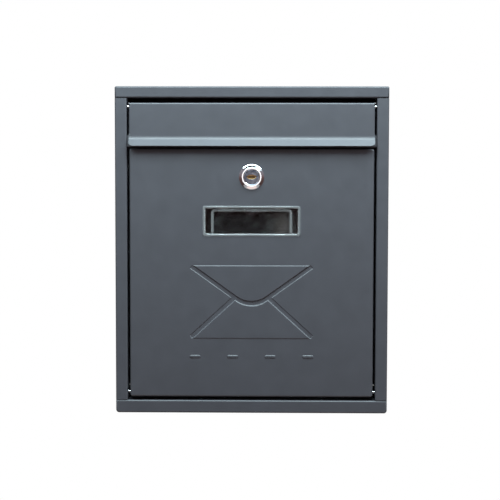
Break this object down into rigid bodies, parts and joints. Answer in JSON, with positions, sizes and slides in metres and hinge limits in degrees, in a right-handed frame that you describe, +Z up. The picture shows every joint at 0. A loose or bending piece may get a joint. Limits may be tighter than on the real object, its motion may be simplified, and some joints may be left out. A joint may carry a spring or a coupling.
{
  "type": "wall mounted mailbox",
  "caption": "Flat wall mounted steel mailbox with a top hinged letter flap, a bottom hinged locking door, a clear name window and a pressed envelope relief.",
  "frame": {"origin": "middle of the pattern of wall holes, on the outer face of the back", "axes": "+Z up, +Y towards the wall, so the front faces -Y; +X to the right as seen from the front"},
  "size_m": [0.26, 0.0966, 0.312],
  "materials": {
    "powder_coat": "anthracite satin powder coat on sheet steel",
    "chrome": "polished chrome plate on the die cast lock",
    "brass": "plain brass wafers",
    "zinc": "bright zinc plated steel",
    "pin_steel": "plain bright steel pins",
    "clear_plastic": "clear moulded plastic"
  },
  "bodies": {
    "case": {"case_shell": "powder_coat", "top_tray": "powder_coat", "bottom_tray": "powder_coat", "slot_sill": "powder_coat"},
    "door": {"door_panel": "powder_coat", "window_insert": "clear_plastic", "card_cover": "clear_plastic", "lock_housing": "chrome", "lock_washer": "zinc", "lock_nut": "zinc", "door_pin_left": "pin_steel", "door_pin_right": "pin_steel", "door_pin_clip_left": "zinc", "door_pin_clip_right": "zinc"},
    "flap": {"flap_panel": "powder_coat", "flap_pin_left": "pin_steel", "flap_pin_right": "pin_steel", "flap_pin_clip_left": "zinc", "flap_pin_clip_right": "zinc"},
    "lock_core": {"lock_plug": "chrome", "lock_wafers": "brass", "cam_stop_disc": "zinc", "lock_cam": "zinc", "cam_spring_washer": "zinc", "cam_screw": "zinc"}
  },
  "joints": [
    {"name": "door_swing", "type": "hinge", "parent": "case", "child": "door", "pos_m": [0, -0.085, -0.136], "axis": [1, 0, 0], "range_deg": [0, 105]},
    {"name": "flap_swing", "type": "hinge", "parent": "case", "child": "flap", "pos_m": [0, -0.085, 0.137], "axis": [-1, 0, 0], "range_deg": [0, 100]},
    {"name": "lock_turn", "type": "hinge", "parent": "door", "child": "lock_core", "pos_m": [0, -0.08, 0.0703], "axis": [0, 1, 0], "range_deg": [0, 90]}
  ]
}
